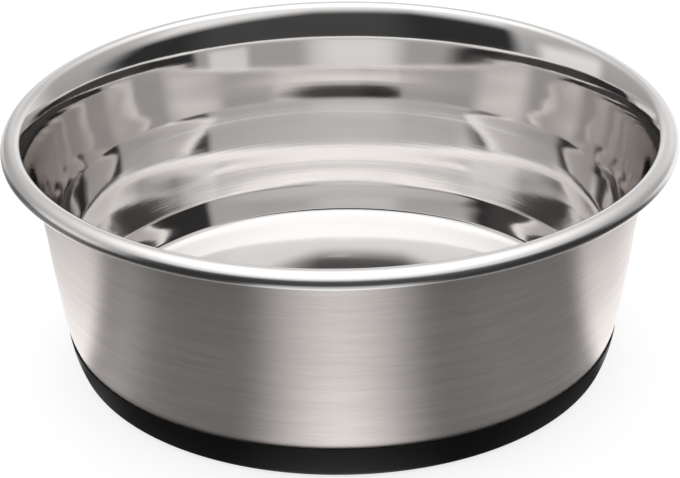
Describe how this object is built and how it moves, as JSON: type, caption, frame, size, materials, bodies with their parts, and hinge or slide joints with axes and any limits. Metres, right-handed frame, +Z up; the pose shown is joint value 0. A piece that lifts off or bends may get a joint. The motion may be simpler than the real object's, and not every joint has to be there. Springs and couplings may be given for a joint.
{
  "type": "dog bowl",
  "caption": "Round steel pet bowl with a turned-over rim, tapered wall and a rubber ring bonded round its foot against slipping.",
  "frame": {"origin": "middle of the base, on the surface that the bowl stands on", "axes": "+Z up along the bowl's axis of turning; +X and +Y are any two square directions across it, since the bowl is round"},
  "size_m": [0.24, 0.24, 0.089],
  "materials": {
    "stainless_steel": "polished inside and on the rim, brushed round the outside",
    "adhesive": "cured adhesive film, out of sight",
    "black_rubber": "moulded, semi-matt"
  },
  "bodies": {
    "root": {"bowl_shell": "stainless_steel", "bond_layer": "adhesive", "base_ring": "black_rubber"}
  },
  "joints": []
}
